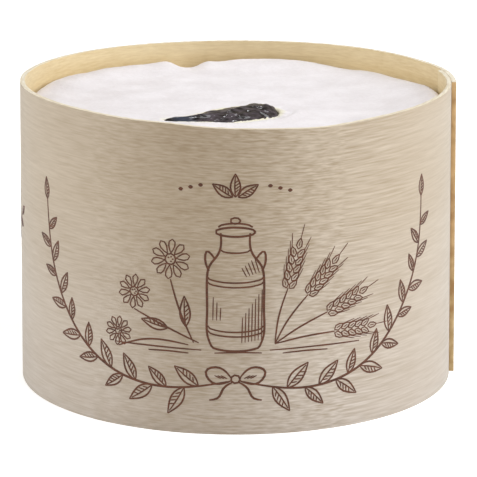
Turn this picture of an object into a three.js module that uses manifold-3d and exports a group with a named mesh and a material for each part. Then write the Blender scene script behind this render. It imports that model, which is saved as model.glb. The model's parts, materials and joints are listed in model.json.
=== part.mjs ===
// A small white soft cheese in its own open-topped round case of thin wood.
//
// Millimetres, +Z up. The origin is on the wheel's axis, on the surface that the case stands on.
// The case is a strip of veneer bent once into a round band, with its ends lapped on the +X side and
// held by two wire staples, and a round wooden base that sits inside the band's foot. The cheese
// stands on the base, about 4 mm short of the rim, and a dark wrinkled piece is pressed into its top
// on the -Y side.

import * as THREE from 'three';
import { mergeVertices } from 'three/addons/utils/BufferGeometryUtils.js';
import Module from 'manifold-3d';

const { degToRad, radToDeg, lerp, smoothstep, clamp } = THREE.MathUtils;
const SEAT_GAP = 0.35; // between pieces that touch on the real object

// ---- the band ----
const VENEER = 0.95; // thickness of the strip
const RIM_LEVEL = 59.85; // mean height of the band
const FOOT_RADIUS = 43.3; // outer radius at the foot
const RIM_RADIUS = 42.8; // outer radius at the rim, which draws in a little
const OUTER_END = -3; // azimuth of the strip's outer end, in degrees from +X towards +Y
const LAP_ANGLE = 16; // how far the two ends lap
const LAP_GAP = 0.1; // between the lapped layers
const SETTLE_ANGLE = 24; // over which the outer layer comes back in to the round
const STRIP_STEP = 2; // degrees between the points of the strip's outline
// The rim was trimmed by eye: each wave has so many lobes round the band.
const RIM_WAVES = [
  { lobes: 1, height: 0.3, peak: 180 },
  { lobes: 2, height: 0.37, peak: 18 },
  { lobes: 3, height: 0.13, peak: 218 },
  { lobes: 4, height: 0.1, peak: 229 },
];
// And here and there it stands higher or lower: azimuth and spread in degrees.
const RIM_TRIMS = [
  { azimuth: -107, height: 0.22, spread: 8 },
  { azimuth: -67, height: -0.32, spread: 9 },
];

// ---- the base ----
const BASE_THICKNESS = 1.5;
const BASE_BEVEL = 0.3;
const BASE_SEGMENTS = 60;

// ---- the staples ----
const WIRE_RADIUS = 0.25;
const CROWN_LENGTH = 11; // upright, across the grain
const STAPLE_AZIMUTH = 9.5;
const STAPLE_HEIGHTS = [15, 45];
const LEG_CLEARANCE = 0.3; // round each leg in the veneer
const LEG_SHORT_BY = 0.25; // from the leg's tip to the band's inner face
const WIRE_STEPS = 26;

// ---- the cheese ----
const CHEESE_RADIUS = 41.2;
const CHEESE_TOP = 55.0; // level of the flat of the top
const SHOULDER_RADIUS = 1.7; // rounding between top and side
const HEEL_RADIUS = 1.4; // rounding between side and bottom
const SHOULDER_RISE = 1.25; // the top stands up towards its edge
const RISE_FROM = 30; // radius where that rise starts
const RISE_TO = 38.5; // and where it ends
const SIDE_RIPPLE = 0.15;
const TOP_RINGS = 31;
const SIDE_RINGS = 5;
const CHEESE_SEGMENTS = 84;
// Places where the edge of the top has sunk, or has risen: azimuth and spread in degrees.
const EDGE_DIPS = [
  { azimuth: 105, depth: 1.9, spread: 5 },
  { azimuth: 97, depth: 0.6, spread: 7 },
  { azimuth: 121, depth: 0.3, spread: 4 },
  { azimuth: 33, depth: 0.62, spread: 13 },
  { azimuth: 55, depth: 0.85, spread: 8 },
  { azimuth: 9, depth: -0.2, spread: 9 },
  { azimuth: 172, depth: 0.5, spread: 11 },
  { azimuth: 292, depth: 0.5, spread: 14 },
];
// Low swells of the top: waves per millimetre along X and Y.
const TOP_SWELLS = [
  { height: 0.09, alongX: 0.19, alongY: 0.13, phase: 0.6 },
  { height: 0.07, alongX: -0.14, alongY: 0.31, phase: 2.1 },
  { height: 0.05, alongX: 0.52, alongY: 0.23, phase: 4.0 },
  { height: 0.04, alongX: -0.37, alongY: 0.61, phase: 1.3 },
];

// ---- the dark piece and the hollow that it lies in ----
const PIECE_TIP = new THREE.Vector2(-14.0, -16.8); // its thin end
const PIECE_END = new THREE.Vector2(8.7, -9.4); // its thick, round end
const PIECE_HALF_WIDTH = 4.5; // where it is widest
const END_LENGTH = 6.5; // of its round end, from there on
const TIP_HALF_WIDTH = 0.9; // just behind the thin end
const PIECE_BOW = 1.2; // how far its middle bends to the front
const THICK_AT_END = 3.15;
const THICK_AT_TIP = 1.6;
const WRINKLE_DEPTH = 0.16;
const PIECE_LIFT = 0.6; // of its underside above the hollow
const PIECE_STATIONS = 30;
const PIECE_SIDES = 22;
const HOLLOW_DEPTH = 1.2;
const HOLLOW_MARGIN = 1.0; // the hollow is this much wider than the piece all round
const HOLLOW_SLOPE = 2.0; // half the width of the hollow's sloping wall
const LIP_IN_FRONT = 0.95; // paste pushed up round the hollow
const LIP_BEHIND = 0.3;
const LIP_OFFSET = 1.4; // from the hollow's edge to the lip's crest
const LIP_SPREAD = 1.0;

const VENEER_OUTSIDE = 0xc4b69c;
const BASE_WOOD = 0xd3c3a2;
const WHITE_RIND = 0xf2eeed;
const DARK_GLOSS = 0x2c2725;
const STEEL_WIRE = 0x9b9a97;

// The round's radius at a height, outside the strip where it is a single layer.
const bandRadius = (z) => lerp(FOOT_RADIUS, RIM_RADIUS, z / RIM_LEVEL);
const azimuthOf = (x, y) => radToDeg(Math.atan2(y, x));
const turnBetween = (a, b) => Math.abs(THREE.MathUtils.euclideanModulo(a - b + 180, 360) - 180);
const bell = (distance, spread) => Math.exp(-((distance / spread) ** 2));

// Move every vertex of a geometry with a function from one point to another.
function reshape(geometry, move) {
  const position = geometry.attributes.position;
  const point = new THREE.Vector3();
  for (let i = 0; i < position.count; i += 1) {
    point.fromBufferAttribute(position, i);
    move(point);
    position.setXYZ(i, point.x, point.y, point.z);
  }
  geometry.computeVertexNormals();
  return geometry;
}

function rimHeight(azimuth) {
  let height = RIM_LEVEL;
  for (const wave of RIM_WAVES) {
    height += wave.height * Math.cos(degToRad(wave.lobes * (azimuth - wave.peak)));
  }
  for (const trim of RIM_TRIMS) {
    height += trim.height * bell(turnBetween(azimuth, trim.azimuth), trim.spread);
  }
  return height;
}

// How far the strip stands off the round, a given turn after its outer end.
function lapRise(turn) {
  return (VENEER + LAP_GAP) * (1 - smoothstep(turn, LAP_ANGLE, LAP_ANGLE + SETTLE_ANGLE));
}

// One face of the strip in plan, at the foot: set in from the outer face by a depth.
function stripFace(depth) {
  const points = [];
  for (let turn = 0; turn <= 360 + LAP_ANGLE; turn += STRIP_STEP) {
    const radius = FOOT_RADIUS - depth + lapRise(turn);
    const angle = degToRad(OUTER_END + turn);
    points.push(new THREE.Vector2(radius * Math.cos(angle), radius * Math.sin(angle)));
  }
  return points;
}

// The strip's outline stood up to its height, with its uneven rim and its slight draw inwards.
function woundStrip() {
  const outline = new THREE.Shape([...stripFace(0), ...stripFace(VENEER).reverse()]);
  const strip = new THREE.ExtrudeGeometry(outline, { depth: RIM_LEVEL, bevelEnabled: false });
  return reshape(strip, (point) => {
    if (point.z < RIM_LEVEL / 2) return;
    const radius = Math.hypot(point.x, point.y);
    const drawnIn = (radius - FOOT_RADIUS + RIM_RADIUS) / radius;
    point.set(point.x * drawnIn, point.y * drawnIn, rimHeight(azimuthOf(point.x, point.y)));
  });
}

// ---- cutting the staples' slots with a solid library ----
const wasm = await Module();
wasm.setup();

function toSolid(geometry) {
  const bare = geometry.clone();
  bare.deleteAttribute('normal');
  bare.deleteAttribute('uv');
  const merged = mergeVertices(bare);
  return new wasm.Manifold(new wasm.Mesh({
    numProp: 3,
    vertProperties: new Float32Array(merged.attributes.position.array),
    triVerts: new Uint32Array(merged.index.array),
  }));
}

function toGeometry(solid) {
  const { numProp, vertProperties, triVerts } = solid.getMesh();
  const positions = new Float32Array((vertProperties.length / numProp) * 3);
  for (let i = 0; i < positions.length; i += 1) {
    positions[i] = vertProperties[Math.floor(i / 3) * numProp + (i % 3)];
  }
  const geometry = new THREE.BufferGeometry();
  geometry.setAttribute('position', new THREE.BufferAttribute(positions, 3));
  geometry.setIndex(Array.from(triVerts));
  geometry.computeVertexNormals();
  return geometry;
}

// The four small slots through both lapped layers, one for each leg.
function legSlots() {
  const side = 2 * (WIRE_RADIUS + LEG_CLEARANCE);
  const reach = 4 * (VENEER + LAP_GAP);
  const slots = [];
  for (const height of STAPLE_HEIGHTS) {
    for (const end of [-1, 1]) {
      const slot = new THREE.BoxGeometry(reach, side, side);
      slot.translate(bandRadius(height), 0, height + end * legOffset());
      slot.rotateZ(degToRad(STAPLE_AZIMUTH));
      slots.push(slot);
    }
  }
  return slots;
}

function veneerBand() {
  let solid = toSolid(woundStrip());
  for (const slot of legSlots()) {
    solid = solid.subtract(toSolid(slot));
  }
  return toGeometry(solid);
}

// ---- the staples ----
const legOffset = () => CROWN_LENGTH / 2 - WIRE_RADIUS;

// A staple in the XZ plane at azimuth 0: its crown upright outside the lap, its legs pointing in.
function wireStaple(height) {
  const radius = bandRadius(height);
  const crown = radius + lapRise(0) + LEG_CLEARANCE + WIRE_RADIUS;
  const tip = radius - VENEER + LEG_SHORT_BY;
  const bend = 2 * WIRE_RADIUS;
  const leg = legOffset();
  const route = new THREE.CurvePath();
  const lowTip = new THREE.Vector3(tip, 0, height - leg);
  const lowLeg = new THREE.Vector3(crown - bend, 0, height - leg);
  const lowCorner = new THREE.Vector3(crown, 0, height - leg);
  const crownLow = new THREE.Vector3(crown, 0, height - leg + bend);
  const crownHigh = new THREE.Vector3(crown, 0, height + leg - bend);
  const highCorner = new THREE.Vector3(crown, 0, height + leg);
  const highLeg = new THREE.Vector3(crown - bend, 0, height + leg);
  const highTip = new THREE.Vector3(tip, 0, height + leg);
  route.add(new THREE.LineCurve3(lowTip, lowLeg));
  route.add(new THREE.QuadraticBezierCurve3(lowLeg, lowCorner, crownLow));
  route.add(new THREE.LineCurve3(crownLow, crownHigh));
  route.add(new THREE.QuadraticBezierCurve3(crownHigh, highCorner, highLeg));
  route.add(new THREE.LineCurve3(highLeg, highTip));
  const section = new THREE.Shape();
  section.absarc(0, 0, WIRE_RADIUS, 0, 2 * Math.PI);
  return new THREE.ExtrudeGeometry(section, { steps: WIRE_STEPS, curveSegments: 4, extrudePath: route });
}

// ---- the base ----
function roundBase() {
  const radius = bandRadius(0) - VENEER - SEAT_GAP;
  const profile = [
    new THREE.Vector2(0, 0),
    new THREE.Vector2(radius - BASE_BEVEL, 0),
    new THREE.Vector2(radius, BASE_BEVEL),
    new THREE.Vector2(radius, BASE_THICKNESS - BASE_BEVEL),
    new THREE.Vector2(radius - BASE_BEVEL, BASE_THICKNESS),
    new THREE.Vector2(0, BASE_THICKNESS),
  ];
  return new THREE.LatheGeometry(profile, BASE_SEGMENTS).rotateX(Math.PI / 2);
}

// ---- the dark piece's outline ----
const pieceLength = PIECE_TIP.distanceTo(PIECE_END);
const pieceHeading = PIECE_END.clone().sub(PIECE_TIP).normalize();
const roundFrom = pieceLength - END_LENGTH;

const bowAt = (along) => -PIECE_BOW * Math.sin(Math.PI * clamp(along / pieceLength, 0, 1));

// Half the piece's width at a distance from its tip: a taper that closes in a round end.
function halfWidthAt(along) {
  const tipWidth = TIP_HALF_WIDTH * Math.sqrt(clamp(along / TIP_HALF_WIDTH, 0, 1));
  const taper = lerp(tipWidth, PIECE_HALF_WIDTH, smoothstep(along, 0, roundFrom));
  const intoEnd = clamp((along - roundFrom) / END_LENGTH, 0, 1);
  return taper * Math.sqrt(1 - intoEnd ** 2);
}

// A point of the plan as a distance along the piece and a distance across it, back side positive.
function pieceFrame(x, y) {
  const fromTipX = x - PIECE_TIP.x;
  const fromTipY = y - PIECE_TIP.y;
  const along = fromTipX * pieceHeading.x + fromTipY * pieceHeading.y;
  const across = fromTipY * pieceHeading.x - fromTipX * pieceHeading.y;
  return { along, across: across - bowAt(along) };
}

// Distance from the piece's outline, below zero inside it.
function outsidePiece(x, y) {
  const { along, across } = pieceFrame(x, y);
  if (along < 0) return Math.hypot(along, across);
  if (along > roundFrom) {
    const intoEnd = (along - roundFrom) / END_LENGTH;
    return Math.hypot(intoEnd * PIECE_HALF_WIDTH, across) - PIECE_HALF_WIDTH;
  }
  return Math.abs(across) - halfWidthAt(along);
}

// ---- the cheese ----
function topHeight(x, y) {
  const radius = Math.hypot(x, y);
  const azimuth = azimuthOf(x, y);
  const nearEdge = smoothstep(radius, RISE_FROM, RISE_TO);
  let height = CHEESE_TOP + SHOULDER_RISE * nearEdge;
  for (const dip of EDGE_DIPS) {
    height -= dip.depth * nearEdge * bell(turnBetween(azimuth, dip.azimuth), dip.spread);
  }
  for (const swell of TOP_SWELLS) {
    height += swell.height * Math.sin(swell.alongX * x + swell.alongY * y + swell.phase);
  }
  const clear = outsidePiece(x, y) - HOLLOW_MARGIN;
  const towardsBack = smoothstep(pieceFrame(x, y).across, -PIECE_HALF_WIDTH, PIECE_HALF_WIDTH);
  height -= HOLLOW_DEPTH * (1 - smoothstep(clear, -HOLLOW_SLOPE, HOLLOW_SLOPE));
  height += lerp(LIP_IN_FRONT, LIP_BEHIND, towardsBack) * bell(clear - LIP_OFFSET, LIP_SPREAD);
  return height;
}

// Half a section of a plain wheel, from the middle of its bottom round to the middle of its top.
function cheeseProfile() {
  const bottom = BASE_THICKNESS + SEAT_GAP;
  const shoulder = CHEESE_RADIUS - SHOULDER_RADIUS;
  const profile = [new THREE.Vector2(0, bottom)];
  for (const angle of [-90, -45, 0]) {
    const turn = degToRad(angle);
    const radius = CHEESE_RADIUS - HEEL_RADIUS * (1 - Math.cos(turn));
    profile.push(new THREE.Vector2(radius, bottom + HEEL_RADIUS * (1 + Math.sin(turn))));
  }
  for (let ring = 1; ring < SIDE_RINGS; ring += 1) {
    const height = lerp(bottom + HEEL_RADIUS, CHEESE_TOP - SHOULDER_RADIUS, ring / SIDE_RINGS);
    profile.push(new THREE.Vector2(CHEESE_RADIUS, height));
  }
  for (const angle of [0, 30, 60, 90]) {
    const turn = degToRad(angle);
    const radius = shoulder + SHOULDER_RADIUS * Math.cos(turn);
    profile.push(new THREE.Vector2(radius, CHEESE_TOP - SHOULDER_RADIUS * (1 - Math.sin(turn))));
  }
  for (let ring = 1; ring <= TOP_RINGS; ring += 1) {
    profile.push(new THREE.Vector2(shoulder * (1 - ring / TOP_RINGS), CHEESE_TOP));
  }
  return profile;
}

function cheeseWheel() {
  const wheel = new THREE.LatheGeometry(cheeseProfile(), CHEESE_SEGMENTS).rotateX(Math.PI / 2);
  const reliefFrom = CHEESE_TOP / 2;
  return reshape(wheel, (point) => {
    const onTop = smoothstep(point.z, reliefFrom, CHEESE_TOP - SHOULDER_RADIUS);
    const azimuth = Math.atan2(point.y, point.x);
    const radius = Math.hypot(point.x, point.y);
    const outward = smoothstep(radius, CHEESE_RADIUS - SHOULDER_RADIUS, CHEESE_RADIUS);
    const ripple = Math.sin(5 * azimuth + 0.09 * point.z) + 0.6 * Math.sin(11 * azimuth - 0.14 * point.z);
    const swollen = radius > 0 ? (radius + SIDE_RIPPLE * outward * ripple) / radius : 1;
    point.z += onTop * (topHeight(point.x, point.y) - CHEESE_TOP);
    point.x *= swollen;
    point.y *= swollen;
  });
}

// ---- the dark piece ----
// Creases that run along the piece, bending as they go.
function wrinkle(along, across) {
  const bend = 0.9 * Math.sin(0.45 * along + 0.4) + 0.35 * along;
  return Math.sin(2.3 * across + bend) + 0.6 * Math.sin(0.9 * along - 1.7 * across + 1.2);
}

function wrinkledPiece() {
  const ball = new THREE.SphereGeometry(1, PIECE_SIDES, PIECE_STATIONS).rotateZ(-Math.PI / 2);
  return reshape(ball, (point) => {
    const along = (pieceLength * (1 + point.x)) / 2;
    const section = Math.atan2(point.z, point.y);
    const across = halfWidthAt(along) * Math.cos(section);
    const side = across + bowAt(along);
    const x = PIECE_TIP.x + along * pieceHeading.x - side * pieceHeading.y;
    const y = PIECE_TIP.y + along * pieceHeading.y + side * pieceHeading.x;
    const closing = Math.sqrt(clamp(1 - point.x ** 2, 0, 1));
    const crown = Math.max(Math.sin(section), 0) * closing ** 0.5;
    const skew = 1 + 0.3 * Math.cos(section);
    const thickness = lerp(THICK_AT_TIP, THICK_AT_END, smoothstep(along, 0, pieceLength));
    const rise = crown * (thickness * skew + WRINKLE_DEPTH * wrinkle(along, across));
    point.set(x, y, topHeight(x, y) + PIECE_LIFT + rise);
  });
}

const group = new THREE.Group();

function add(name, geometry, color, roughness, metalness = 0) {
  const mesh = new THREE.Mesh(geometry, new THREE.MeshStandardMaterial({ color, roughness, metalness }));
  mesh.name = name;
  group.add(mesh);
  return mesh;
}

add('band', veneerBand(), VENEER_OUTSIDE, 0.8);
add('base', roundBase(), BASE_WOOD, 0.85);
add('cheese', cheeseWheel(), WHITE_RIND, 0.9);
add('garnish', wrinkledPiece(), DARK_GLOSS, 0.3);
for (const [index, height] of STAPLE_HEIGHTS.entries()) {
  const staple = add(`staple_${index + 1}`, wireStaple(height), STEEL_WIRE, 0.35, 1);
  staple.rotation.z = degToRad(STAPLE_AZIMUTH);
}

export default group;
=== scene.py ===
"""A small white soft cheese in its own open round case of thin bent wood.

Metres, +Z up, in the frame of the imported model. The band of the case is made as a flat strip of
veneer, printed while it is flat, and then wound round the base. The cheese and the dark piece in
its top are finished from their solids.
"""

import json
import math

import bmesh
import bpy
import numpy as np
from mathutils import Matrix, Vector, noise
from mathutils.bvhtree import BVHTree

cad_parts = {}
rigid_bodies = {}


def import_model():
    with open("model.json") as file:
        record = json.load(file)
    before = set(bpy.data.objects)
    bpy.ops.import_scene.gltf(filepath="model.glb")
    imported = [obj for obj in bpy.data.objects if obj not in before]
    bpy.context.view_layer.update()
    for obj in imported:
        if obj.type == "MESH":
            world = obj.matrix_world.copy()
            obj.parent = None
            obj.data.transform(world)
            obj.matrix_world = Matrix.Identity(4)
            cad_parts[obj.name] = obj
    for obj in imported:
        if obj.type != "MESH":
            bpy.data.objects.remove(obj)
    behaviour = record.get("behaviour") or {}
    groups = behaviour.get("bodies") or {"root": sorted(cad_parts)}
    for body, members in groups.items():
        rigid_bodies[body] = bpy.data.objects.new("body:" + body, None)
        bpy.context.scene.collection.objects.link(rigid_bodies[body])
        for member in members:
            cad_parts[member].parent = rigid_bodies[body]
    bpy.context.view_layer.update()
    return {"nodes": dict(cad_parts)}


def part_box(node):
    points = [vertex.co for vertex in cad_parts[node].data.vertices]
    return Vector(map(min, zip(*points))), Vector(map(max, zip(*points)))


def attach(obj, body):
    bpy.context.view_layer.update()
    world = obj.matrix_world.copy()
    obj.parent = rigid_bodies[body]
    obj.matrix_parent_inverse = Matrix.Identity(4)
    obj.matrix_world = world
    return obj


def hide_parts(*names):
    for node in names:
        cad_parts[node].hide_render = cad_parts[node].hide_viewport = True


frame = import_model()

MM = 0.001

# The strip of veneer, as its solid has it.
VENEER = 0.95 * MM
OUTER_END = math.radians(-3)
LAP_TURN = math.radians(16)
SETTLE_TURN = math.radians(24)
LAP_RISE = VENEER + 0.03 * MM
FOOT_RADIUS = -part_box("band")[0].y
RIM_DRAW = 0.5 * MM
RIM_LEVEL = 59.85 * MM
FULL_TURN = 2 * math.pi + LAP_TURN
STRIP_LENGTH = FULL_TURN * FOOT_RADIUS
FRONT_TURN = math.radians(270) - OUTER_END

# Its finish: eased edges, a slightly wavy round, a frayed rim, and how finely it is cut up.
EDGE_EASE = 0.07 * MM
ROUND_WAVE = 0.06 * MM
RIM_FRAY = 0.07 * MM
CUTS_ALONG = (3, 95)
CUTS_UP = 19

# The ink: how thick it lies and, in millimetres on the flat drawing, how far off the wood each
# stroke starts, so that strokes that cross lie over each other.
INK_THICKNESS = 0.1 * MM
INK_STAND_OFF = 0.03
STROKE_STEP = 0.003
STROKE_STEPS = 7

# The dark piece: what is taken off its round end, how far its tip sinks, and how deep its folds,
# creases, dimples and the puckers near its round end are, in millimetres.
END_TRIM = 0.5 * MM
TIP_SINK = 0.3 * MM
FOLD_DEPTH = 0.28
CREASE_DEPTH = 0.24
DIMPLE_DEPTH = 0.15
PUCKER_DEPTH = 0.15
PUCKER_PLACE = 0.83
PUCKER_REACH = 0.06
SKIN_SETBACK = 0.06

# Lumps at the edge of the cheese's top: degrees round, reach in degrees, millimetres.
EDGE_LUMPS = ((99.2, 2.7, 0.58), (111, 2.6, 0.5), (164, 14, 0.35))
# Lumps all over its top: millimetres high, and how many to a metre.
TOP_LUMPS = ((0.14, 140), (0.08, 420), (0.05, 1100))
TOP_DEPTH = 4 * MM
PRESSED_OUT = 0.3 * MM
FINE_REACH = 1.3 * MM
PASTE_REACH = 6 * MM
UNDER_DARK = 0.05 * MM

# How far the staples' crowns are pressed towards the veneer.
CROWN_PRESS = 0.24 * MM

# Where the camera stands: in front, a little above, looking down at the middle of the case.
CAMERA_DISTANCE = 611 * MM
CAMERA_TILT = math.radians(14.65)
CAMERA_AIM = Vector((0.56, 0, 27.2)) * MM
CAMERA_LENS = 228.9

# The lamps: how far off they stand, and their two tints.
LAMP_DISTANCE = 1.1
COOL_TINT = (1.0, 1.06, 1.13)
CLEAR_TINT = (1.0, 1.02, 1.05)


# ---- working in edit mode ----

def deselect_all():
    for thing in bpy.context.view_layer.objects:
        thing.select_set(False)


def take(piece):
    """Makes a piece the only thing that is selected and active."""
    deselect_all()
    piece.select_set(True)
    bpy.context.view_layer.objects.active = piece
    return piece


def new_primitive(name, add, **settings):
    deselect_all()
    add(**settings)
    piece = bpy.context.active_object
    piece.name = name
    piece.data.name = name
    bpy.ops.object.transform_apply(location=True, rotation=True, scale=True)
    return piece


def in_edit_mode(piece, mode, test, work):
    """Selects the vertices, edges or faces of a piece that pass a test, and works on them."""
    take(piece)
    bpy.ops.object.mode_set(mode="EDIT")
    bpy.ops.mesh.select_mode(type=mode)
    shell = bmesh.from_edit_mesh(piece.data)
    parts = {"VERT": shell.verts, "EDGE": shell.edges, "FACE": shell.faces}[mode]
    for part in parts:
        part.select_set(False)
    for part in parts:
        if test(part):
            part.select_set(True)
    shell.select_flush_mode()
    bmesh.update_edit_mesh(piece.data)
    work()
    bpy.ops.object.mode_set(mode="OBJECT")


def finish_with(piece, kind, **settings):
    """Adds a modifier and applies it."""
    take(piece)
    modifier = piece.modifiers.new(kind.title(), kind)
    for name, value in settings.items():
        setattr(modifier, name, value)
    bpy.ops.object.modifier_apply(modifier=modifier.name)


def points_of(piece):
    points = np.empty(len(piece.data.vertices) * 3)
    piece.data.vertices.foreach_get("co", points)
    return points.reshape(-1, 3)


def move_points(piece, points):
    piece.data.vertices.foreach_set("co", points.ravel())
    piece.data.update()


def merged_copy(node, name):
    """A copy of a solid's loose triangles with their corners joined."""
    piece = frame["nodes"][node].copy()
    piece.data = frame["nodes"][node].data.copy()
    piece.name = name
    piece.parent = None
    for key in list(piece.keys()):
        del piece[key]
    bpy.context.scene.collection.objects.link(piece)
    piece.data.materials.clear()
    join_doubles = lambda: bpy.ops.mesh.remove_doubles(threshold=0.002 * MM)
    in_edit_mode(piece, "VERT", lambda part: True, join_doubles)
    return piece


def shade_smooth(piece, angle):
    take(piece)
    bpy.ops.object.shade_smooth_by_angle(angle=math.radians(angle))


# ---- shader building ----

def new_node(tree, kind, values=(), **settings):
    node = tree.nodes.new(kind)
    for name, value in settings.items():
        setattr(node, name, value)
    for name, value in dict(values).items():
        if isinstance(value, bpy.types.NodeSocket):
            tree.links.new(value, node.inputs[name])
        else:
            node.inputs[name].default_value = value
    return node


def maths(tree, operation, *values, clamp=False):
    node = new_node(tree, "ShaderNodeMath", enumerate(values), operation=operation, use_clamp=clamp)
    return node.outputs[0]


def mix_colour(tree, share, first, second, blend="MIX"):
    values = {0: share, 6: first, 7: second}
    node = new_node(tree, "ShaderNodeMix", values, data_type="RGBA", blend_type=blend)
    return node.outputs[2]


def spread(tree, value, low, high, to_low=0.0, to_high=1.0):
    values = {
        "Value": value,
        "From Min": low,
        "From Max": high,
        "To Min": to_low,
        "To Max": to_high,
    }
    return new_node(tree, "ShaderNodeMapRange", values).outputs["Result"]


def noise_at(tree, vector, scale, detail=2.0, roughness=0.5):
    """Noise whose features measure so many millimetres along each axis."""
    shrunk = new_node(tree, "ShaderNodeMapping", {"Vector": vector}, vector_type="POINT")
    shrunk.inputs["Scale"].default_value = [1 / size for size in scale]
    values = {"Vector": shrunk.outputs[0], "Scale": 1.0, "Detail": detail, "Roughness": roughness}
    return new_node(tree, "ShaderNodeTexNoise", values).outputs[0]


def new_group(name, takes, gives):
    group = bpy.data.node_groups.new(name, "ShaderNodeTree")
    for label, kind in takes.items():
        group.interface.new_socket(label, in_out="INPUT", socket_type=kind)
    for label, kind in gives.items():
        group.interface.new_socket(label, in_out="OUTPUT", socket_type=kind)
    return group, group.nodes.new("NodeGroupInput"), group.nodes.new("NodeGroupOutput")


def sliced_wood_group():
    """Sliced poplar: short wavy dashes that follow the grain, long streaks, and soft blotches."""
    takes = {
        "Millimetres": "NodeSocketVector",
        "Pale": "NodeSocketColor",
        "Dark": "NodeSocketColor",
        "Ripple": "NodeSocketFloat",
        "Streak": "NodeSocketFloat",
        "Shift": "NodeSocketFloat",
    }
    gives = {"Colour": "NodeSocketColor", "Height": "NodeSocketFloat"}
    group, given, made = new_group("sliced_wood", takes, gives)
    place = given.outputs["Millimetres"]
    wander = noise_at(group, place, (30, 10, 30), 2)
    drift = maths(group, "MULTIPLY_ADD", wander, 0.8, -0.4)
    lift = new_node(group, "ShaderNodeCombineXYZ", {"Y": drift}).outputs[0]
    waved = new_node(group, "ShaderNodeVectorMath", {0: place, 1: lift}, operation="ADD").outputs[0]
    dashes = spread(group, noise_at(group, waved, (3.0, 0.42, 3.0), 0.8), 0.3, 0.7)
    hairs = spread(group, noise_at(group, waved, (1.6, 0.2, 1.6), 1), 0.3, 0.7)
    streaks = spread(group, noise_at(group, waved, (50, 1.3, 50), 2), 0.3, 0.7)
    blotches = spread(group, noise_at(group, place, (16, 12, 16), 3, 0.6), 0.3, 0.7)
    pores = spread(group, noise_at(group, waved, (1.2, 0.13, 1.2), 1), 0.62, 0.74)
    ripples = maths(group, "MULTIPLY_ADD", hairs, 0.6, dashes)
    # The shift makes the whole tone paler or darker; on the veneer it carries painted light and
    # shade.
    middle = maths(group, "ADD", given.outputs["Shift"], 0.5)
    tone = maths(group, "MULTIPLY_ADD", ripples, given.outputs["Ripple"], middle)
    tone = maths(group, "MULTIPLY_ADD", streaks, given.outputs["Streak"], tone)
    tone = maths(group, "MULTIPLY_ADD", blotches, 0.16, tone)
    half = maths(group, "MULTIPLY", given.outputs["Ripple"], 0.8)
    half = maths(group, "MULTIPLY_ADD", given.outputs["Streak"], 0.5, half)
    tone = maths(group, "SUBTRACT", tone, maths(group, "ADD", half, 0.08))
    tone = maths(group, "MULTIPLY_ADD", pores, -0.16, tone, clamp=True)
    colour = mix_colour(group, tone, given.outputs["Dark"], given.outputs["Pale"])
    height = maths(group, "MULTIPLY_ADD", pores, -0.6, ripples)
    group.links.new(colour, made.inputs["Colour"])
    group.links.new(height, made.inputs["Height"])
    return group


def soft_stretch_group():
    """A stretch along the strip, strongest in its middle and nothing past its reach."""
    takes = {
        "Along": "NodeSocketFloat",
        "Middle": "NodeSocketFloat",
        "Reach": "NodeSocketFloat",
        "Amount": "NodeSocketFloat",
    }
    group, given, made = new_group("soft_stretch", takes, {"Amount": "NodeSocketFloat"})
    offset = maths(group, "SUBTRACT", given.outputs["Along"], given.outputs["Middle"])
    values = {
        "Value": maths(group, "ABSOLUTE", offset),
        "From Min": 0,
        "From Max": given.outputs["Reach"],
        "To Min": given.outputs["Amount"],
        "To Max": 0,
    }
    shade = new_node(group, "ShaderNodeMapRange", values, interpolation_type="SMOOTHSTEP")
    group.links.new(shade.outputs["Result"], made.inputs["Amount"])
    return group


def tint_by_height_group():
    """Multiplies a colour by a tint, from none at one height to all of it at another, in
    millimetres.
    """
    takes = {
        "Colour": "NodeSocketColor",
        "Height": "NodeSocketFloat",
        "Start": "NodeSocketFloat",
        "End": "NodeSocketFloat",
        "Tint": "NodeSocketColor",
    }
    group, given, made = new_group("height_tint", takes, {"Colour": "NodeSocketColor"})
    share = spread(group, given.outputs["Height"], given.outputs["Start"], given.outputs["End"])
    tinted = mix_colour(group, share, given.outputs["Colour"], given.outputs["Tint"], "MULTIPLY")
    group.links.new(tinted, made.inputs["Colour"])
    return group


SLICED_WOOD = sliced_wood_group()
SOFT_STRETCH = soft_stretch_group()
TINT_BY_HEIGHT = tint_by_height_group()


def srgb(red, green, blue):
    """A colour given as it shows on a screen, from 0 to 255, as light."""
    straight = []
    for level in (red, green, blue):
        share = level / 255
        straight.append(share / 12.92 if share <= 0.04045 else ((share + 0.055) / 1.055) ** 2.4)
    return (*straight, 1.0)


def new_material(name, **sockets):
    material = bpy.data.materials.new(name)
    material.use_nodes = True
    shader = material.node_tree.nodes["Principled BSDF"]
    for label, value in sockets.items():
        shader.inputs[label.replace("_", " ")].default_value = value
    return material, material.node_tree, shader


def in_millimetres(tree, source):
    """A place given in metres, as the materials read it."""
    values = {0: source, "Scale": 1 / MM}
    return new_node(tree, "ShaderNodeVectorMath", values, operation="SCALE").outputs[0]


def strip_place(tree):
    """Where a point lies on the flat strip, in millimetres along it and up it."""
    return in_millimetres(tree, new_node(tree, "ShaderNodeUVMap", uv_map="strip").outputs[0])


def body_place(tree):
    """Where a point lies on the object, in millimetres."""
    return in_millimetres(tree, new_node(tree, "ShaderNodeTexCoord").outputs["Object"])


def bump(tree, shader, height, depth):
    values = {"Height": height, "Distance": depth, "Strength": 1.0}
    relief = new_node(tree, "ShaderNodeBump", values)
    tree.links.new(relief.outputs["Normal"], shader.inputs["Normal"])


def soft_stretches(tree, place, stretches):
    """Stretches along the strip, added up: where, how far to each side, how much. On the veneer's
    colour they are painted light and shade; on its ripple they make it coarser or finer.
    """
    along = new_node(tree, "ShaderNodeSeparateXYZ", {0: place}).outputs["X"]
    total = 0.0
    for middle, reach, amount in stretches:
        values = {"Along": along, "Middle": middle, "Reach": reach, "Amount": amount}
        stretch = new_node(tree, "ShaderNodeGroup", values, node_tree=SOFT_STRETCH)
        total = maths(tree, "ADD", stretch.outputs["Amount"], total)
    return total


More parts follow.
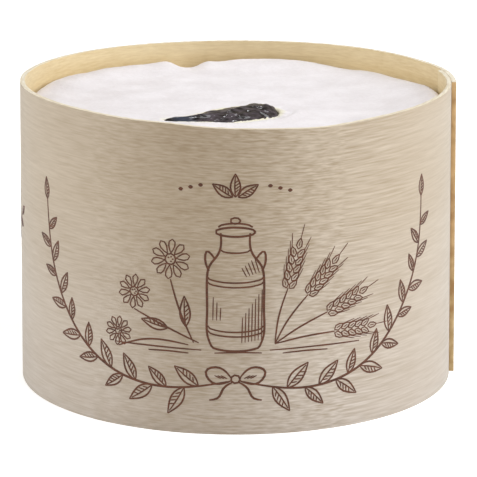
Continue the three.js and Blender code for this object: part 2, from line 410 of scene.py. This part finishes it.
def tinted_by_height(tree, place, colour, axis, start, end, tint):
    """The colour, changed from one height on an axis to another."""
    height = new_node(tree, "ShaderNodeSeparateXYZ", {0: place}).outputs[axis]
    values = {"Colour": colour, "Height": height, "Start": start, "End": end, "Tint": (*tint, 1)}
    return new_node(tree, "ShaderNodeGroup", values, node_tree=TINT_BY_HEIGHT).outputs["Colour"]


def drawn_out(tree, place, start, end, share):
    """The grain runs longer between two places on the strip, by letting its pattern lag behind."""
    along = new_node(tree, "ShaderNodeSeparateXYZ", {0: place}).outputs["X"]
    lag = spread(tree, along, start, end, 0, share * (end - start))
    lagging = new_node(tree, "ShaderNodeCombineXYZ", {"X": lag}).outputs[0]
    values = {0: place, 1: lagging}
    return new_node(tree, "ShaderNodeVectorMath", values, operation="SUBTRACT").outputs[0]


def wood_material(
    name, place_of, pale, dark, ripple, streak, roughness, relief,
    stretches=(), torn=(), height_tint=(), drawn=(),
):
    """Bare sliced wood.

    Its stretches are painted light and shade, paler or darker along the strip, and its torn ones
    coarser or finer. Its height tint is an axis, two heights on it and a tint. Where it is drawn,
    between two places, the grain runs longer.
    """
    material, tree, shader = new_material(
        name, Roughness=roughness, Sheen_Weight=0.2, Sheen_Tint=(0.72, 0.88, 1.0, 1),
    )
    place = place_of(tree)
    grain_place = place
    for start, end, share in drawn:
        grain_place = drawn_out(tree, grain_place, start, end, share)
    values = {
        "Millimetres": grain_place,
        "Pale": pale,
        "Dark": dark,
        "Ripple": ripple,
        "Streak": streak,
    }
    if stretches:
        values["Shift"] = soft_stretches(tree, place, stretches)
    if torn:
        values["Ripple"] = maths(tree, "ADD", soft_stretches(tree, place, torn), ripple)
    grain = new_node(tree, "ShaderNodeGroup", values, node_tree=SLICED_WOOD)
    colour = grain.outputs["Colour"]
    if height_tint:
        colour = tinted_by_height(tree, place, colour, *height_tint)
    tree.links.new(colour, shader.inputs["Base Color"])
    bump(tree, shader, grain.outputs["Height"], relief)
    return material


def white_rind():
    """A matt white bloom, with cream paste and a stain where it meets the dark piece."""
    material, tree, shader = new_material("white_rind", Roughness=0.85, Specular_IOR_Level=0.2)
    place = body_place(tree)
    cloud = noise_at(tree, place, (7, 7, 7), 3)
    fuzz = noise_at(tree, place, (0.7, 0.7, 0.7), 3, 0.6)
    tone = maths(tree, "MULTIPLY_ADD", fuzz, 0.35, maths(tree, "MULTIPLY", cloud, 0.65))
    tone_share = spread(tree, tone, 0.35, 0.65)
    colour = mix_colour(tree, tone_share, srgb(229, 224, 226), srgb(242, 238, 241))
    paste = new_node(tree, "ShaderNodeAttribute", attribute_name="paste").outputs["Fac"]
    colour = mix_colour(tree, spread(tree, paste, 0, 0.7), colour, srgb(236, 232, 206))
    colour = mix_colour(tree, spread(tree, paste, 0.7, 1), colour, srgb(128, 116, 70))
    tree.links.new(colour, shader.inputs["Base Color"])
    bump(tree, shader, tone, 0.25 * MM)
    return material


def dark_skin():
    """Moist, nearly black skin, with a painted bluish sheen on its thin end, and olive round its
    rim.
    """
    material, tree, shader = new_material(
        "dark_skin", Specular_IOR_Level=0.2, Coat_Weight=0.9, Coat_Roughness=0.12,
    )
    place = body_place(tree)
    patches = spread(tree, noise_at(tree, place, (1.8, 1.0, 1.0), 3), 0.4, 0.65)
    colour = mix_colour(tree, patches, srgb(20, 14, 18), srgb(80, 72, 80))
    tip_sheen = new_node(tree, "ShaderNodeAttribute", attribute_name="tip_sheen").outputs["Fac"]
    # Painted sheen: a slaty blue laid over the thin end, standing for its moist shine.
    colour = mix_colour(tree, maths(tree, "MULTIPLY", tip_sheen, 0.8), colour, srgb(50, 61, 80))
    rim = new_node(tree, "ShaderNodeAttribute", attribute_name="rim").outputs["Fac"]
    colour = mix_colour(tree, rim, colour, srgb(98, 88, 50))
    tree.links.new(colour, shader.inputs["Base Color"])
    grain = noise_at(tree, place, (0.9, 0.3, 0.3), 3, 0.6)
    tree.links.new(spread(tree, grain, 0.35, 0.7, 0.3, 0.5), shader.inputs["Roughness"])
    bump(tree, shader, grain, 0.08 * MM)
    return material


def steel_wire():
    """Bright drawn wire."""
    material, tree, shader = new_material("steel_wire", Metallic=1.0)
    drawn = noise_at(tree, body_place(tree), (0.4, 0.4, 3.0), 2)
    colour = mix_colour(tree, drawn, srgb(150, 148, 144), srgb(196, 194, 190))
    tree.links.new(colour, shader.inputs["Base Color"])
    tree.links.new(spread(tree, drawn, 0.3, 0.7, 0.28, 0.45), shader.inputs["Roughness"])
    return material


def paint_whole(piece, material):
    piece.data.materials.clear()
    piece.data.materials.append(material)


# ---- the band ----

def rim_samples():
    """Azimuths and heights of the solid band's outer rim."""
    points = np.array([v.co for v in frame["nodes"]["band"].data.vertices])
    azimuth = np.arctan2(points[:, 1], points[:, 0])
    high = points[:, 2] > 0.9 * RIM_LEVEL
    order = np.argsort(azimuth[high])
    return azimuth[high][order], points[high][order][:, 2]


RIM_AZIMUTHS, RIM_HEIGHTS = rim_samples()


def lap_rise(turn):
    """How far the strip stands off the round, a given turn after its outer end."""
    share = np.clip((turn - LAP_TURN) / SETTLE_TURN, 0, 1)
    return LAP_RISE * (1 - share * share * (3 - 2 * share))


def wind(piece):
    """Winds a flat piece round the base: X runs along the strip, Y into it and Z up."""
    flat = points_of(piece)
    turn = flat[:, 0] / FOOT_RADIUS
    azimuth = OUTER_END + turn
    up = flat[:, 2] / RIM_LEVEL
    waves = [noise.noise((3 * math.cos(a), 3 * math.sin(a), 1.4 * u)) for a, u in zip(azimuth, up)]
    radius = FOOT_RADIUS - RIM_DRAW * up - flat[:, 1] + lap_rise(turn)
    radius += ROUND_WAVE * np.array(waves)
    wrapped = np.mod(azimuth + math.pi, 2 * math.pi) - math.pi
    rim = np.interp(wrapped, RIM_AZIMUTHS, RIM_HEIGHTS)
    climb = np.clip(2 * up - 1, 0, 1) ** 2 * (rim - RIM_LEVEL)
    wound = [radius * np.cos(azimuth), radius * np.sin(azimuth), flat[:, 2] + climb]
    move_points(piece, np.stack(wound, axis=1))


def subdivide_along(piece, axis, *rounds):
    """Cuts every edge that runs along an axis into equal lengths."""
    def runs_along(edge):
        step = edge.verts[1].co - edge.verts[0].co
        return abs(step[axis]) > 0.99 * step.length
    for cuts in rounds:
        in_edit_mode(piece, "EDGE", runs_along, lambda: bpy.ops.mesh.subdivide(number_cuts=cuts))


def map_strip(piece):
    """A flat UV map in metres: along the strip and up it, running on over its edges."""
    layer = piece.data.uv_layers.new(name="strip")
    for loop in piece.data.loops:
        x, y, z = piece.data.vertices[loop.vertex_index].co
        layer.data[loop.index].uv = (x - y, z + y)


def assign_faces(piece, test, slot):
    """Gives the faces that pass a test the material in a slot."""
    piece.active_material_index = slot
    in_edit_mode(piece, "FACE", test, bpy.ops.object.material_slot_assign)


def veneer_materials():
    """The strip's outside, inside, long edges and cut ends, placed from the middle of its front."""
    front = FRONT_TURN * FOOT_RADIUS / MM
    outside = wood_material(
        "veneer_outside", strip_place, srgb(210, 195, 175), srgb(170, 150, 123),
        ripple=0.36, streak=0.16, roughness=0.55, relief=0.005 * MM,
        # Painted shade: a darker stretch just left of the middle of the front, between the two side
        # lamps; painted light: a paler stretch to its right.
        stretches=((front - 9, 22, -0.28), (front + 18, 18, 0.1)),
        torn=((front + 14, 30, 0.34), (front + 48, 26, -0.17), (front - 52, 32, -0.15)),
        # Painted light: the outside grows paler and bluer towards its foot, standing in for light
        # from the floor.
        height_tint=("Y", 44, 4, (1.08, 1.14, 1.29)),
        drawn=((front + 22, front + 60, 0.6), (front - 60, front - 30, 0.5)),
    )
    inside = wood_material(
        "veneer_inside", strip_place, srgb(233, 213, 169), srgb(203, 175, 124),
        ripple=0.3, streak=0.16, roughness=0.6, relief=0.005 * MM,
        # Painted light: a paler stretch round the back of the inside, the wall that faces the
        # front.
        stretches=((72, 50, 0.34),), height_tint=("Y", 57, 59.5, (1.0, 1.02, 1.08)),
    )
    edge = wood_material(
        "veneer_edge", strip_place, srgb(245, 236, 217), srgb(218, 201, 168),
        ripple=0.6, streak=0.3, roughness=0.75, relief=0.02 * MM,
    )
    end = wood_material(
        "cut_end", body_place, srgb(226, 192, 142), srgb(170, 128, 80),
        ripple=0.6, streak=0.4, roughness=0.75, relief=0.04 * MM,
        height_tint=("Z", 32, 6, (1.12, 1.3, 1.45)),
    )
    return outside, inside, edge, end


def veneer_band():
    """The strip, cut flat, given its materials and wound round."""
    size = (STRIP_LENGTH, VENEER, RIM_LEVEL)
    strip = new_primitive(
        "veneer_band", bpy.ops.mesh.primitive_cube_add, size=1, scale=size,
        location=(STRIP_LENGTH / 2, VENEER / 2, RIM_LEVEL / 2),
    )
    ease = lambda: bpy.ops.mesh.bevel(offset=EDGE_EASE, segments=2)
    in_edit_mode(strip, "EDGE", lambda edge: True, ease)
    subdivide_along(strip, 0, *CUTS_ALONG)
    subdivide_along(strip, 2, CUTS_UP)
    fray = points_of(strip)
    ragged = [noise.noise((900 * x, 700 * y, 5.0)) for x, y in fray[:, :2]]
    fray[:, 2] += RIM_FRAY * np.array(ragged) * (fray[:, 2] > 0.99 * RIM_LEVEL)
    move_points(strip, fray)
    map_strip(strip)
    for material in veneer_materials():
        strip.data.materials.append(material)
    inside, edge, end = 1, 2, 3
    assign_faces(strip, lambda face: face.normal.y > 0.7, inside)
    assign_faces(strip, lambda face: abs(face.normal.z) > 0.6, edge)
    assign_faces(strip, lambda face: abs(face.normal.x) > 0.6, end)
    wind(strip)
    shade_smooth(strip, 40)
    return strip


# ---- the print on the band ----
# It is drawn flat, in millimetres: along the band from the middle of its front, and up.

class Drawing:
    """Pen strokes kept as flat ribbons."""

    def __init__(self):
        self.corners = []
        self.faces = []
        self.strokes = 0

    def ribbon(self, line, half_widths):
        """Lays a ribbon along a line, each stroke at its own hair's depth."""
        depth = -INK_STAND_OFF - STROKE_STEP * (self.strokes % STROKE_STEPS)
        self.strokes += 1
        first = len(self.corners)
        heading = np.gradient(line, axis=0)
        heading /= np.maximum(np.hypot(heading[:, 0], heading[:, 1]), 1e-9)[:, None]
        side = np.stack([-heading[:, 1], heading[:, 0]], axis=1) * half_widths[:, None]
        for right, left in zip(line - side, line + side):
            self.corners += [(right[0], depth, right[1]), (left[0], depth, left[1])]
        for step in range(first, len(self.corners) - 2, 2):
            self.faces.append((step, step + 2, step + 3, step + 1))


def smooth_line(points, step=0.7):
    """An evenly stepped, naturally bent curve through some points."""
    points = np.array(points, dtype=float)
    gaps = np.hypot(*np.diff(points, axis=0).T)
    run = np.concatenate([[0], np.cumsum(gaps)])
    stiffness = np.eye(len(points))
    load = np.zeros_like(points)
    for i in range(1, len(points) - 1):
        stiffness[i, i - 1:i + 2] = gaps[i - 1], 2 * (gaps[i - 1] + gaps[i]), gaps[i]
        turned = (points[i + 1] - points[i]) / gaps[i] - (points[i] - points[i - 1]) / gaps[i - 1]
        load[i] = 6 * turned
    bend = np.linalg.solve(stiffness, load)
    spots = np.linspace(0, run[-1], max(4, int(run[-1] / step) + 1))
    span = np.clip(np.searchsorted(run, spots, side="right") - 1, 0, len(gaps) - 1)
    gap = gaps[span, None]
    after = (spots - run[span])[:, None]
    before = gap - after
    curve = (bend[span] * before ** 3 + bend[span + 1] * after ** 3) / (6 * gap)
    curve += (points[span] / gap - bend[span] * gap / 6) * before
    curve += (points[span + 1] / gap - bend[span + 1] * gap / 6) * after
    return curve


def pen(drawing, points, width=0.42, ends=0.45):
    """A pen stroke, thinner at its ends."""
    line = smooth_line(points)
    swell = np.sin(np.pi * np.linspace(0.02, 0.98, len(line))) ** 0.5
    drawing.ribbon(line, 0.5 * width * (ends + (1 - ends) * swell))


def ring(drawing, middle, across, up, width=0.36, start=0, end=360):
    """An oval, or a part of one between two angles."""
    turns = np.radians(np.linspace(start, end, max(8, int(abs(end - start) / 18))))
    points = [(middle[0] + across * math.cos(t), middle[1] + up * math.sin(t)) for t in turns]
    pen(drawing, points, width, ends=1.0)


def polar(root, reach, angle):
    return (root[0] + reach * math.cos(angle), root[1] + reach * math.sin(angle))


def beside(root, tip, share, offset):
    """A point part of the way from one point to another, and to the left of that line."""
    along = np.subtract(tip, root)
    left = np.array([-along[1], along[0]]) / np.hypot(*along)
    return tuple(np.add(root, along * share) + left * offset)


def grain(drawing, root, tip, breadth):
    """A filled, pointed grain."""
    line = smooth_line([root, tip], step=0.3)
    drawing.ribbon(line, 0.5 * breadth * np.sin(np.pi * np.linspace(0.03, 0.97, len(line))) ** 0.7)


def leaf(drawing, root, tip, breadth):
    """A leaf in outline, with its rib, and hatched on one half."""
    for half in (-1, 1):
        bulge = [beside(root, tip, share, half * breadth * size)
                 for share, size in ((0.2, 0.36), (0.45, 0.5), (0.75, 0.3))]
        pen(drawing, [root, *bulge, tip], 0.36)
    pen(drawing, [root, beside(root, tip, 0.45, 0.12), beside(root, tip, 0.9, 0)], 0.3)
    for share in (0.2, 0.34, 0.48, 0.62):
        reach = 0.42 * breadth * math.sin(math.pi * share) ** 0.6
        pen(drawing, [beside(root, tip, share, 0), beside(root, tip, share + 0.13, -reach)], 0.26)


def spray(drawing, stem, leaves, length, breadth):
    """A stem with leaves to both sides, smaller towards its tip."""
    pen(drawing, stem, 0.5)
    line = smooth_line(stem)
    for number in range(leaves):
        share = 0.1 + 0.86 * number / leaves
        spot = int(share * (len(line) - 1))
        heading = math.atan2(*(line[spot + 1] - line[spot])[::-1])
        side = 1 if number % 2 else -1
        size = length * (1 - 0.35 * share) * (1 + 0.1 * math.sin(2.3 * number))
        lean = side * (0.82 + 0.12 * math.sin(1.7 * number))
        leaf(drawing, line[spot], polar(line[spot], size, heading + lean), breadth * size / length)
    heading = math.atan2(*(line[-1] - line[-2])[::-1])
    leaf(drawing, line[-1], polar(line[-1], 0.7 * length, heading), 0.7 * breadth)


def husk(drawing, root, tip, breadth):
    """A grain of wheat in outline, with its crease."""
    for half in (-1, 1):
        bulge = [beside(root, tip, share, half * breadth * size)
                 for share, size in ((0.3, 0.5), (0.7, 0.36))]
        pen(drawing, [root, *bulge, tip], 0.26, ends=0.7)
    pen(drawing, [beside(root, tip, 0.25, 0), beside(root, tip, 0.7, 0)], 0.2)


def wheat_ear(drawing, root, tip, pairs):
    """An ear of wheat: grains in pairs up a stalk, each with its awn."""
    heading = math.atan2(tip[1] - root[1], tip[0] - root[0])
    for pair in range(pairs):
        for side in (-1, 1):
            start = beside(root, tip, pair / pairs, side * 0.3)
            point = polar(start, 2.1, heading + side * 0.5)
            husk(drawing, start, point, 1.1)
            pen(drawing, [point, polar(point, 2.6, heading + side * 0.24)], 0.17)
    husk(drawing, tip, polar(tip, 2.2, heading), 1.1)
    pen(drawing, [polar(tip, 2.2, heading), polar(tip, 5.0, heading)], 0.17)


def daisy(drawing, middle, radius, petals):
    """A daisy: long petals in outline round a dotted middle."""
    for petal in range(petals):
        angle = 2 * math.pi * petal / petals + 0.2
        root, tip = polar(middle, 0.3 * radius, angle), polar(middle, radius, angle)
        for half in (-1, 1):
            sides = [beside(root, tip, share, half * radius * size)
                     for share, size in ((0.4, 0.13), (0.8, 0.15))]
            pen(drawing, [root, *sides, tip], 0.27, ends=0.6)
    ring(drawing, middle, 0.27 * radius, 0.27 * radius, 0.3)
    for dot in range(4):
        spot = polar(middle, 0.12 * radius, 2.5 * dot)
        grain(drawing, (spot[0] - 0.2, spot[1]), (spot[0] + 0.2, spot[1]), 0.34)


def milk_churn(drawing, foot):
    """A milk churn with two hoops and a lid, shaded on its right."""
    x, z = foot
    body = [(4.6, 0), (5.2, 1.5), (5.4, 6), (5.4, 13), (4.9, 15.6)]
    neck = [(3.2, 18), (2.8, 19.2), (2.8, 22)]
    for side in (-1, 1):
        pen(drawing, [(x + side * a, z + b) for a, b in body + neck], 0.46, ends=0.8)
    ring(drawing, (x, z + 0.1), 4.7, 1.1, 0.42, 180, 360)
    for height, reach in ((3.0, 5.3), (12.6, 5.4)):
        for lift in (0, 0.9):
            ring(drawing, (x, z + height + lift), reach, 1.2, 0.3, 180, 360)
    ring(drawing, (x, z + 18.8), 2.9, 0.7, 0.3, 180, 360)
    ring(drawing, (x, z + 22.2), 3.8, 0.9, 0.42)
    ring(drawing, (x, z + 23.0), 3.3, 0.9, 0.36, 10, 170)
    ring(drawing, (x, z + 24.4), 1.0, 0.6, 0.36)
    for side in (-1, 1):
        handle = [(3.9, 17), (5.4, 18.4), (5.7, 16.4), (5.0, 14.6)]
        pen(drawing, [(x + side * a, z + b) for a, b in handle], 0.44, ends=0.7)
    for line in range(7):
        a = x + 4.9 - 0.62 * line
        pen(drawing, [(a, z + 1.2 - 0.1 * line), (a + 0.15, z + 11.0 - 0.9 * line)], 0.24)
    for line in range(5):
        a = x + 4.5 - 0.6 * line
        pen(drawing, [(a, z + 14.3 - 0.2 * line), (a - 0.9, z + 17.2 - 0.5 * line)], 0.24)
    for line in range(3):
        pen(drawing, [(x - 4.3 + 0.7 * line, z + 5), (x - 4.2 + 0.7 * line, z + 9.5 - line)], 0.22)


def tied_bow(drawing, knot):
    """A bow with two loops and two tails."""
    x, z = knot
    ring(drawing, knot, 0.9, 0.8, 0.4)
    for side in (-1, 1):
        loop = [(0.8, 0.2), (3.4, 2.3), (5.6, 1.5), (4.6, -0.6), (0.8, -0.3)]
        tail = [(0.6, -0.6), (2.4, -2.0), (3.2, -3.6), (5.0, -4.2)]
        pen(drawing, [(x + side * a, z + b) for a, b in loop], 0.46)
        pen(drawing, [(x + side * a, z + b) for a, b in tail], 0.46)
        for a in (1.6, 2.2, 2.8):
            pen(drawing, [(x + side * a, z + 0.1), (x + side * (a + 1.2), z + 0.7)], 0.24)


def front_motif(drawing):
    """Two sprays rise from a bow, round a churn that stands between daisies and wheat."""
    right_stem = [(1.5, 10.5), (13, 8.8), (26, 12), (36, 21), (41.5, 32), (42.5, 42)]
    left_stem = [(-1.5, 10.5), (-13, 8.9), (-26, 11.5), (-36.5, 20), (-42, 31), (-43.5, 41)]
    for stem in (right_stem, left_stem):
        spray(drawing, stem, leaves=17, length=6.2, breadth=2.3)
    tied_bow(drawing, (0, 11))
    milk_churn(drawing, (0, 17.5))
    for root, bend, middle, radius in (
        ((-8, 18), (-11, 25), (-12.5, 34), 3.9),
        ((-7, 18), (-14, 21), (-20, 27), 3.4),
        ((-9, 17.5), (-17, 18), (-23.5, 18.8), 2.9),
    ):
        pen(drawing, [root, bend, (middle[0], middle[1] - radius)], 0.36)
        daisy(drawing, middle, radius, 10)
    leaf(drawing, (-9.5, 21), (-9.8, 27), 2.0)
    leaf(drawing, (-13, 20.5), (-18.5, 21.8), 2.0)
    for bend, root, tip in (
        ((8.2, 23), (10, 28.5), (12, 36)),
        ((9.8, 22), (14, 27), (19, 32.5)),
        ((12, 20.6), (18, 23.2), (25, 26)),
        ((13, 18.8), (19.5, 19.2), (27, 19.2)),
    ):
        pen(drawing, [(7.5, 17.8), bend, root], 0.34)
        wheat_ear(drawing, root, tip, 5)
    for start, end, level in (
        (-24, -6.5, 16.6), (-17, -9, 15.9), (6.5, 25, 16.6), (9, 18, 15.9), (-4, 5, 16.1),
    ):
        pen(drawing, [(start, level), ((start + end) / 2, level + 0.15), (end, level)], 0.3)


def crest(drawing, middle):
    """Three leaves and a few dots."""
    x, z = middle
    for lean, size in ((math.radians(150), 5.0), (math.radians(90), 4.6), (math.radians(30), 5.0)):
        leaf(drawing, (x + 0.6 * math.cos(lean), z), polar((x, z), size, lean), 1.9)
    for side in (-1, 1):
        for dot in range(3):
            spot = (x + side * (6.6 + 1.9 * dot), z + 2.2 - 0.5 * dot)
            grain(drawing, (spot[0] - 0.45, spot[1]), (spot[0] + 0.45, spot[1]), 0.75)


def side_motif(drawing, middle):
    """A branch that lies along the band, with daisies on it."""
    x, z = middle
    spray(drawing, [(x - 2, z - 2), (x + 6, z - 3), (x + 14, z + 1)], 7, 5.0, 1.9)
    spray(drawing, [(x + 2, z - 2), (x - 6, z - 3), (x - 14, z + 1)], 7, 5.0, 1.9)
    daisy(drawing, (x, z + 1.5), 4.2, 12)
    daisy(drawing, (x + 7.5, z + 4.0), 2.8, 9)
    daisy(drawing, (x - 7.5, z + 4.0), 2.8, 9)


def printed_band():
    """All of the print, laid on the flat strip and wound round with it."""
    drawing = Drawing()
    front_motif(drawing)
    crest(drawing, (0, 46.5))
    side_motif(drawing, (-74, 33.5))
    side_motif(drawing, (-134, 33.5))
    ink = bpy.data.objects.new("printed_design", bpy.data.meshes.new("printed_design"))
    bpy.context.scene.collection.objects.link(ink)
    corners = np.array(drawing.corners) * MM
    corners[:, 0] += FRONT_TURN * FOOT_RADIUS
    ink.data.from_pydata(corners.tolist(), [], drawing.faces)
    finish_with(ink, "SOLIDIFY", thickness=INK_THICKNESS, offset=-1)
    map_strip(ink)
    wind(ink)
    paint_whole(ink, wood_material(
        "brown_ink", strip_place, srgb(116, 68, 42), srgb(72, 37, 21),
        ripple=0.5, streak=0.3, roughness=0.6, relief=0.01 * MM,
    ))
    return ink


# ---- the cheese, the dark piece and the staples ----

def surface_of(piece):
    return BVHTree.FromPolygons(
        [v.co.copy() for v in piece.data.vertices],
        [tuple(p.vertices) for p in piece.data.polygons],
    )


def normals_of(piece):
    normals = np.empty(len(piece.data.vertices) * 3)
    piece.data.vertices.foreach_get("normal", normals)
    return normals.reshape(-1, 3)


def paint_points(piece, name, values):
    """Keeps a number from 0 to 1 for each point, for a material to read."""
    attribute = piece.data.attributes.new(name, "FLOAT", "POINT")
    attribute.data.foreach_set("value", np.clip(values, 0, 1).astype(np.float32))


def smooth_step(value, low, high):
    share = np.clip((value - low) / (high - low), 0, 1)
    return share * share * (3 - 2 * share)


def wrinkled_piece():
    """The dark piece, with long folds from its tip to its round end and finer creases."""
    piece = merged_copy("garnish", "wrinkled_piece")
    finish_with(piece, "SUBSURF", levels=3, render_levels=3)
    points = points_of(piece)
    normals = normals_of(piece)
    tip = points[points[:, 0].argmin()]
    end = points[points[:, 0].argmax()]
    length = math.hypot(*(end - tip)[:2])
    points[:, 0] -= END_TRIM * smooth_step(points[:, 0], end[0] - 5 * MM, end[0])
    heading = (end - tip)[:2] / length
    along = (points - tip)[:, :2] @ heading / length
    across = (points - tip)[:, :2] @ (-heading[1], heading[0]) / MM
    points[:, 2] -= TIP_SINK * (1 - smooth_step(along, 0, 0.16))
    depth = []
    upper = smooth_step(normals[:, 2], 0.2, 0.6)
    for x, y, z, run, side, top in zip(*points.T / MM, along, across, upper):
        fold = noise.ridged_multi_fractal((2.0 * run, 0.36 * side, 0.2), 0.9, 2.1, 2, 1.0, 2.0)
        crease = noise.noise((5 * run, 0.9 * side, 0.6 * z))
        dimple = noise.noise((0.6 * x, 1.5 * y, 1.2 * z))
        near_end = math.exp(-((run - PUCKER_PLACE) / PUCKER_REACH) ** 2)
        pucker = math.sin(3.7 * side + 1.6 * x) * near_end * top
        relief = FOLD_DEPTH * fold + CREASE_DEPTH * crease
        depth.append(relief + DIMPLE_DEPTH * dimple + PUCKER_DEPTH * pucker)
    depth = np.array(depth) - np.mean(depth) - SKIN_SETBACK
    move_points(piece, points + normals * depth[:, None] * MM)
    # Painted sheen: where the bluish shine is laid on, near the thin end.
    tip_sheen = smooth_step(along, 0.05, 0.12) * (1 - smooth_step(along, 0.16, 0.28))
    paint_points(piece, "tip_sheen", tip_sheen)
    back = smooth_step(normals[:, 1], 0.03, 0.3) * smooth_step(along, 0.15, 0.4)
    paint_points(piece, "rim", 0.7 * back + 0.8 * smooth_step(along, 0.94, 1.0))
    shade_smooth(piece, 70)
    paint_whole(piece, dark_skin())
    return piece


def paste_height(point, dark_surface):
    """How far the paste rises beside the dark piece, and how stained it is, from 0 to 1."""
    found = dark_surface.find_nearest(point, PASTE_REACH)
    if found[0] is None:
        return 0.0, 0.0
    away = found[3] / MM
    thick = smooth_step(found[0].x / MM, -14, -2)
    behind = smooth_step((point.y - found[0].y) / MM, -0.6, 0.6)
    lip = 0.9 + (0.2 + 0.9 * thick) * behind
    reach = 2.2 + 1.0 * behind
    stain = 1 - away / (0.9 + 0.9 * behind * thick)
    return lip * (1 - smooth_step(away, 0.2, reach)), stain * (0.45 + 0.55 * thick)


def edge_lumps(points):
    """How far each point is raised by the lumps at the edge of the top."""
    azimuth = np.degrees(np.arctan2(points[:, 1], points[:, 0]))
    near_edge = smooth_step(np.hypot(points[:, 0], points[:, 1]), 33 * MM, 39 * MM)
    raised = 0
    for middle, reach, rise in EDGE_LUMPS:
        raised = raised + rise * np.exp(-((azimuth - middle) / reach) ** 2)
    return raised * near_edge * MM


def press_out(points):
    """The side of the cheese comes nearer to the band than its solid does."""
    reach = np.hypot(points[:, 0], points[:, 1])
    share = smooth_step(reach, 37 * MM, 41 * MM) / np.maximum(reach, MM)
    points[:, :2] *= 1 + PRESSED_OUT * share[:, None]


def whole_cheese(dark):
    """The cheese, its top lumpy and rising in a lip of paste round the dark piece."""
    cheese = merged_copy("cheese", "soft_cheese")
    in_edit_mode(cheese, "FACE", lambda face: True, bpy.ops.mesh.tris_convert_to_quads)
    finish_with(cheese, "SUBSURF", levels=2, render_levels=2)
    dark_surface = surface_of(dark)

    def beside_dark(face):
        return dark_surface.find_nearest(face.calc_center_median(), FINE_REACH)[0] is not None

    in_edit_mode(cheese, "FACE", beside_dark, lambda: bpy.ops.mesh.subdivide(number_cuts=3))
    points = points_of(cheese)
    top = points[:, 2].max() - TOP_DEPTH
    near = np.zeros(len(points))
    raised = edge_lumps(points)
    for i, point in enumerate(points):
        if point[2] < top:
            continue
        place = Vector(point)
        lumps = sum(high * noise.noise(place * many) for high, many in TOP_LUMPS)
        rise, near[i] = paste_height(place, dark_surface)
        height = point[2] + (rise + lumps) * MM + raised[i]
        under = dark_surface.ray_cast(place - Vector((0, 0, 8 * MM)), Vector((0, 0, 1)), 16 * MM)
        if under[0] is not None:
            height = min(height, under[0].z - UNDER_DARK)
        point[2] = height
    press_out(points)
    move_points(cheese, points)
    paint_points(cheese, "paste", near)
    shade_smooth(cheese, 80)
    paint_whole(cheese, white_rind())
    return cheese


def driven_staple(node, name, wire):
    """A wire staple with its crown pressed against the veneer."""
    staple = merged_copy(node, name)
    points = points_of(staple)
    radial = np.hypot(points[:, 0], points[:, 1])
    pressed = (radial - CROWN_PRESS) / radial
    points[:, 0] *= pressed
    points[:, 1] *= pressed
    move_points(staple, points)
    shade_smooth(staple, 50)
    paint_whole(staple, wire)
    return staple


# ---- the studio ----

def aim_at(thing, place):
    thing.rotation_euler = (Vector(place) - thing.location).to_track_quat("-Z", "Y").to_euler()


def camera():
    """A long lens, looking down at the front of the case."""
    lens = bpy.data.cameras.new("camera")
    lens.lens = CAMERA_LENS
    lens.sensor_width = 36
    stand = bpy.data.objects.new("camera", lens)
    bpy.context.scene.collection.objects.link(stand)
    back = Vector((0, -math.cos(CAMERA_TILT), math.sin(CAMERA_TILT)))
    stand.location = CAMERA_AIM + back * CAMERA_DISTANCE
    aim_at(stand, CAMERA_AIM)
    bpy.context.scene.camera = stand


def softbox(name, azimuth, elevation, size, watts, colour, mirrored=True):
    """A square lamp that the camera doesn't see, aimed at the middle of the case."""
    light = bpy.data.lights.new(name, "AREA")
    light.size = size
    light.energy = watts
    light.color = colour
    box = bpy.data.objects.new(name, light)
    bpy.context.scene.collection.objects.link(box)
    turn, rise = math.radians(azimuth), math.radians(elevation)
    level = math.cos(rise)
    direction = Vector((math.cos(turn) * level, math.sin(turn) * level, math.sin(rise)))
    box.location = CAMERA_AIM + direction * LAMP_DISTANCE
    box.visible_camera = False
    box.visible_glossy = mirrored
    aim_at(box, CAMERA_AIM)


def soft_surround():
    """A warm, dim light from all round, which the camera sees as plain white."""
    world = bpy.data.worlds.new("studio")
    world.use_nodes = True
    tree = world.node_tree
    seen = new_node(tree, "ShaderNodeLightPath").outputs["Is Camera Ray"]
    background = tree.nodes["Background"]
    colour = mix_colour(tree, seen, (1.0, 0.88, 0.72, 1), (1, 1, 1, 1))
    tree.links.new(colour, background.inputs["Color"])
    tree.links.new(spread(tree, seen, 0, 1, 0.32, 1.0), background.inputs["Strength"])
    bpy.context.scene.world = world


def studio_floor():
    """A pale floor that the camera sees a little lighter than it lights the case."""
    floor = new_primitive("floor", bpy.ops.mesh.primitive_plane_add, size=8)
    material, tree, shader = new_material("floor", Roughness=0.9, Specular_IOR_Level=0.0)
    shader.inputs["Base Color"].default_value = (0.9, 0.9, 0.9, 1)
    shader.inputs["Emission Color"].default_value = (1, 1, 1, 1)
    seen = new_node(tree, "ShaderNodeLightPath").outputs["Is Camera Ray"]
    tree.links.new(maths(tree, "MULTIPLY", seen, 0.45), shader.inputs["Emission Strength"])
    paint_whole(floor, material)


def studio():
    soft_surround()
    studio_floor()
    softbox("right_softbox", 0, 25, 0.6, 7.8, COOL_TINT, mirrored=False)
    softbox("left_softbox", 180, 25, 0.6, 7.1, COOL_TINT, mirrored=False)
    softbox("high_softbox", -45, 55, 0.5, 3.8, CLEAR_TINT)
    softbox("glint_light", 90, 80, 0.07, 0.6, CLEAR_TINT)
    bpy.context.scene.view_settings.view_transform = "Standard"


camera()
studio()

band = veneer_band()
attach(band, "root")
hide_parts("band")

ink = printed_band()
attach(ink, "root")

dark_piece = wrinkled_piece()
cheese = whole_cheese(dark_piece)
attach(dark_piece, "root")
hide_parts("garnish")
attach(cheese, "root")
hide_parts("cheese")

wire = steel_wire()
for number in (1, 2):
    staple = driven_staple(f"staple_{number}", f"driven_staple_{number}", wire)
    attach(staple, "root")
    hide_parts(f"staple_{number}")

base_wood = wood_material(
    "base_wood", body_place, srgb(226, 208, 176), srgb(190, 162, 122),
    ripple=0.3, streak=0.6, roughness=0.7, relief=0.03 * MM,
)
paint_whole(frame["nodes"]["base"], base_wood)
